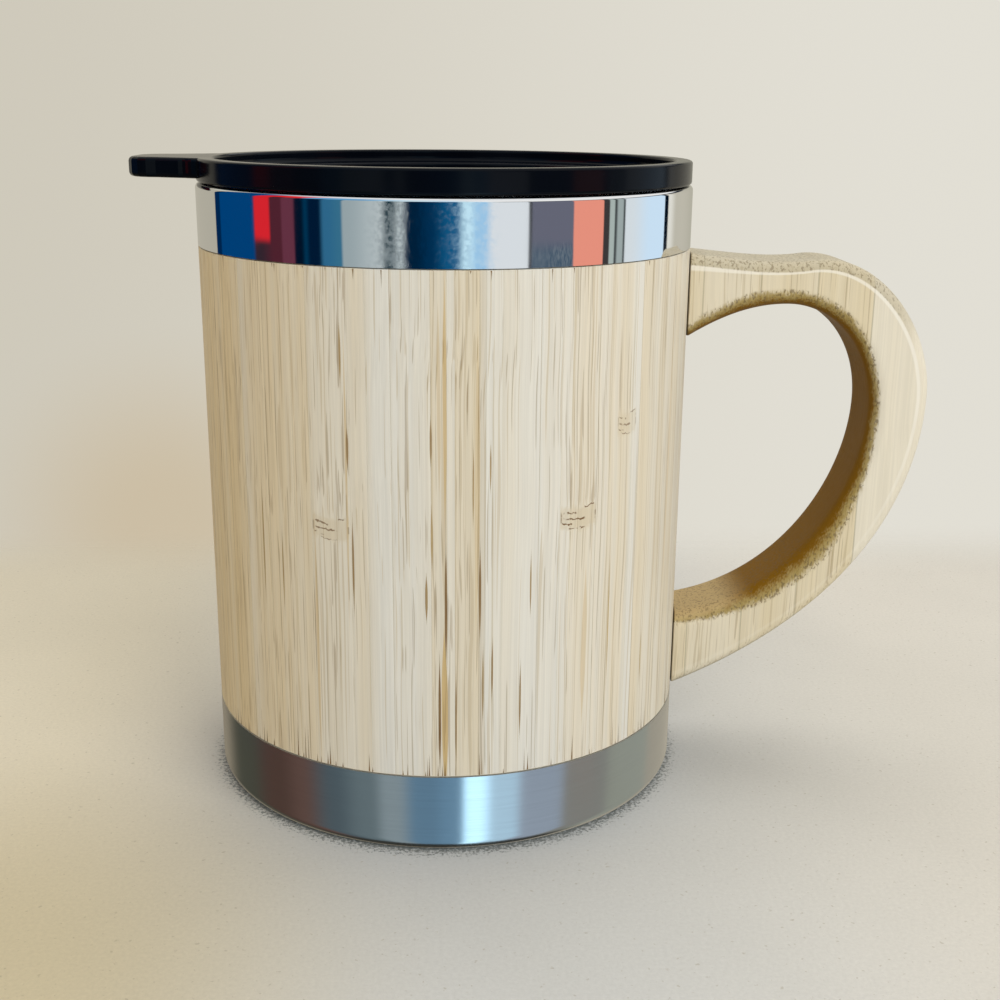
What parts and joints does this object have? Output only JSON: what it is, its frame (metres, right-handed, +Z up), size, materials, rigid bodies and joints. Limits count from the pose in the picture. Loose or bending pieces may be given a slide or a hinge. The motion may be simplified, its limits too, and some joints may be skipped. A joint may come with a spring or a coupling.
{
  "type": "bamboo cup",
  "caption": "Straight-sided steel mug with a bamboo sleeve, a looped bamboo handle and a black press-in lid that has a thumb tab and a sliding sip closure.",
  "frame": {"origin": "centre of the flat ring that the cup stands on, on the cup's axis", "axes": "+Z up along the cup's axis, +X towards the handle, -X towards the lid's thumb tab at rest"},
  "size_m": [0.1395, 0.085, 0.1098],
  "materials": {
    "steel_satin": "satin drawn stainless steel inside the cup",
    "steel_mirror": "mirror-polished stainless steel",
    "steel_brushed": "stainless steel brushed round the axis",
    "bamboo": "sanded, clear-sealed bamboo strips with upright grain",
    "bamboo_handle": "carved laminated bamboo, clear-sealed",
    "screw_steel": "plain steel screws, hidden",
    "lid_plastic": "satin-gloss black polypropylene",
    "slider_plastic": "fine-textured black plastic",
    "silicone": "milky silicone"
  },
  "bodies": {
    "cup": {"inner_cup": "steel_satin", "rim_collar": "steel_mirror", "bamboo_sleeve": "bamboo", "base_cup": "steel_brushed", "handle": "bamboo_handle", "handle_screws": "screw_steel"},
    "seal": {"lid_seal_ring": "silicone"},
    "lid": {"lid_body": "lid_plastic"},
    "slider": {"sip_slider": "slider_plastic", "slider_clip": "slider_plastic", "sip_seal_pad": "silicone"}
  },
  "joints": [
    {"name": "lid_lift", "type": "slide", "parent": "cup", "child": "seal", "axis": [0, 0, 1], "range_m": [0, 0.06]},
    {"name": "lid_turn", "type": "hinge", "parent": "seal", "child": "lid", "pos_m": [0, 0, 0.1], "axis": [0, 0, 1], "continuous": true},
    {"name": "sip_slide", "type": "slide", "parent": "lid", "child": "slider", "axis": [1, 0, 0], "range_m": [0, 0.013]}
  ]
}
